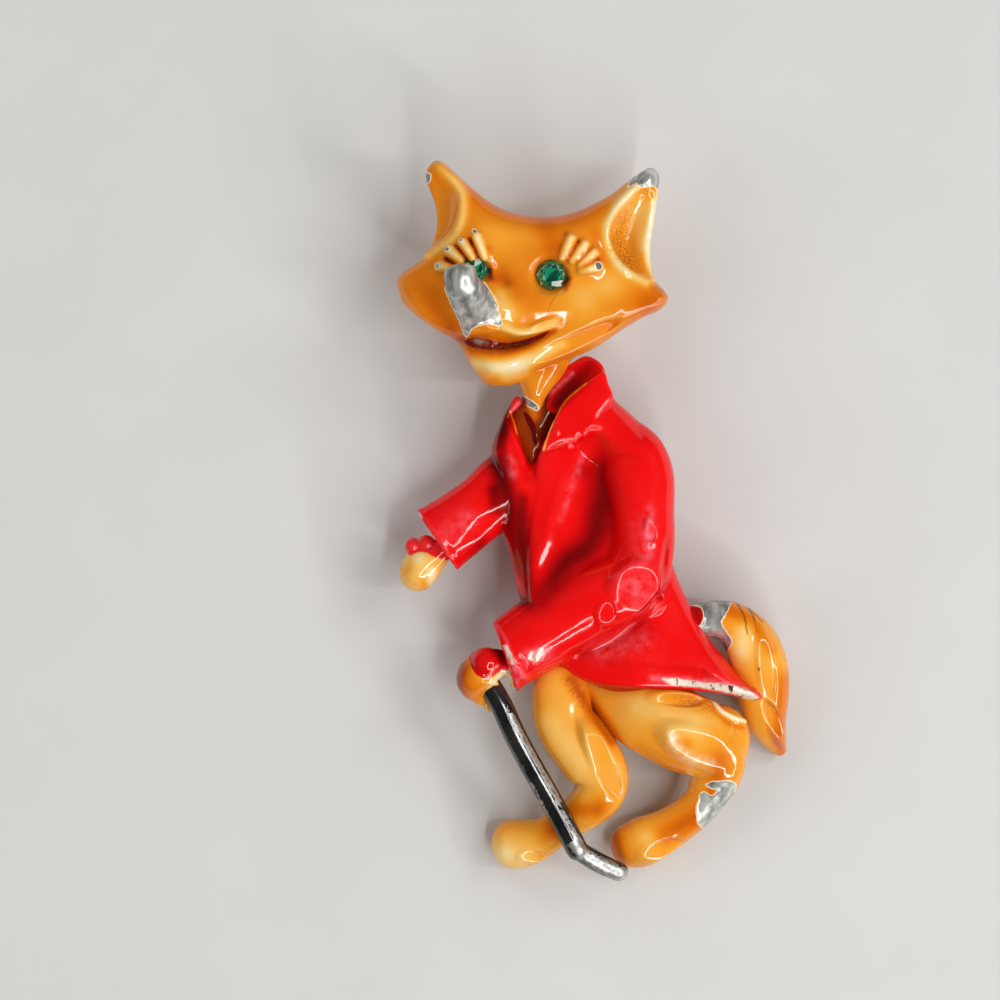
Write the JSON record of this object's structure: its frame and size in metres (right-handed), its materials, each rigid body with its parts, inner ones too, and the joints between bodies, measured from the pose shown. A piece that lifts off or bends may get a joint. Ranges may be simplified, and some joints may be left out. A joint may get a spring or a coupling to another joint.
{
  "type": "figural animal brooch: an enamelled fox in a coat with a cane",
  "caption": "Enamelled metal brooch in the shape of a walking fox with a red coat, a cane, cut stone eyes and a pin back.",
  "frame": {"origin": "middle of the base of the figure's bounding box, on the surface that the brooch lies on", "axes": "+Y towards the ears, +X to the viewer's right, +Z out of the face, away from the pin back"},
  "size_m": [0.0315, 0.0578, 0.0136],
  "materials": {
    "orange_enamel": "glossy enamel over cast metal",
    "green_stone": "cut and polished",
    "amber_enamel": "glossy translucent enamel",
    "red_enamel": "thick glossy enamel",
    "paw_enamel": "glossy enamel, with a red frill",
    "dark_metal": "worn dark plating",
    "leg_enamel": "glossy enamel over cast metal",
    "tail_enamel": "glossy enamel, worn at the root",
    "pin_metal": "plain plated steel"
  },
  "bodies": {
    "root": {"head": "orange_enamel", "eye_stone_left": "green_stone", "eye_stone_right": "green_stone", "shirt_front": "amber_enamel", "coat": "red_enamel", "near_paw": "paw_enamel", "far_paw": "paw_enamel", "cane": "dark_metal", "near_leg": "leg_enamel", "far_leg": "leg_enamel", "tail": "tail_enamel", "pin_back": "pin_metal"}
  },
  "joints": []
}
